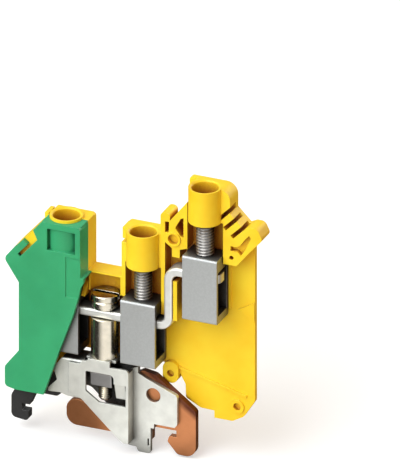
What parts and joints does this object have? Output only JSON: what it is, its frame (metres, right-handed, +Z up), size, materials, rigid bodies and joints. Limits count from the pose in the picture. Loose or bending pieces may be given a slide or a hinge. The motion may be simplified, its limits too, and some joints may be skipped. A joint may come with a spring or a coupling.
{
  "type": "earth terminal block",
  "caption": "Green and yellow earth terminal block for a hat rail, opened to show its clamps, bar and metal foot.",
  "frame": {"origin": "on the rail's centre line, level with the top of its flanges, at mid thickness of the block", "axes": "+X across the rail towards the high right clamp, +Y along the rail away from the opened face, +Z up"},
  "size_m": [0.0581, 0.009, 0.0661],
  "materials": {
    "yellow_plastic": "moulded satin",
    "green_plastic": "moulded satin",
    "plated_bar": "tin plated",
    "zinc_plated_cage": "zinc plated",
    "screw_steel": "rolled thread",
    "nickel_plated": "turned",
    "bright_steel": "pressed sheet",
    "bare_copper": "pressed copper",
    "dark_steel": "blackened"
  },
  "bodies": {
    "block": {"yellow_shell": "yellow_plastic", "green_cover": "green_plastic", "current_bar": "plated_bar", "contact_sleeve": "nickel_plated", "spring_washer": "nickel_plated", "folded_bracket": "bright_steel", "steel_foot_plate": "bright_steel", "copper_foot_plate": "bare_copper", "left_foot_plate": "bright_steel", "rail_hook": "dark_steel"},
    "left_screw": {"left_clamp_screw": "screw_steel"},
    "left_cage": {"left_clamp_cage": "zinc_plated_cage"},
    "middle_screw": {"middle_clamp_screw": "screw_steel"},
    "middle_cage": {"middle_clamp_cage": "zinc_plated_cage"},
    "right_screw": {"right_clamp_screw": "screw_steel"},
    "right_cage": {"right_clamp_cage": "zinc_plated_cage"},
    "rail_screw": {"rail_screw": "nickel_plated"},
    "rail_nut": {"rail_nut": "screw_steel"}
  },
  "joints": [
    {"name": "left_cage_rise", "type": "slide", "parent": "block", "child": "left_cage", "axis": [0, 0, 1], "range_m": [0, 0.0055]},
    {"name": "left_screw_turn", "type": "hinge", "parent": "block", "child": "left_screw", "pos_m": [-0.00755, 0, 0.027], "axis": [0, 0, -1], "range_deg": [0, 2833.6]},
    {"name": "middle_cage_rise", "type": "slide", "parent": "block", "child": "middle_cage", "axis": [0, 0, 1], "range_m": [0, 0.0055]},
    {"name": "middle_screw_turn", "type": "hinge", "parent": "block", "child": "middle_screw", "pos_m": [0.0103, 0, 0.027], "axis": [0, 0, -1], "range_deg": [0, 2833.6]},
    {"name": "right_cage_rise", "type": "slide", "parent": "block", "child": "right_cage", "axis": [0, 0, 1], "range_m": [0, 0.0055]},
    {"name": "right_screw_turn", "type": "hinge", "parent": "block", "child": "right_screw", "pos_m": [0.0247, 0, 0.0404], "axis": [0, 0, -1], "range_deg": [0, 2833.6]},
    {"name": "rail_nut_rise", "type": "slide", "parent": "block", "child": "rail_nut", "axis": [0, 0, 1], "range_m": [0, 0.0028]},
    {"name": "rail_screw_turn", "type": "hinge", "parent": "block", "child": "rail_screw", "pos_m": [0.0015, 0, 0.027], "axis": [0, 0, -1], "range_deg": [0, 2021]}
  ],
  "couplings": [
    {"joint": "left_screw_turn", "follows": "left_cage_rise", "rad_per_m": 8976},
    {"joint": "middle_screw_turn", "follows": "middle_cage_rise", "rad_per_m": 8976},
    {"joint": "right_screw_turn", "follows": "right_cage_rise", "rad_per_m": 8976},
    {"joint": "rail_screw_turn", "follows": "rail_nut_rise", "rad_per_m": 12566}
  ]
}
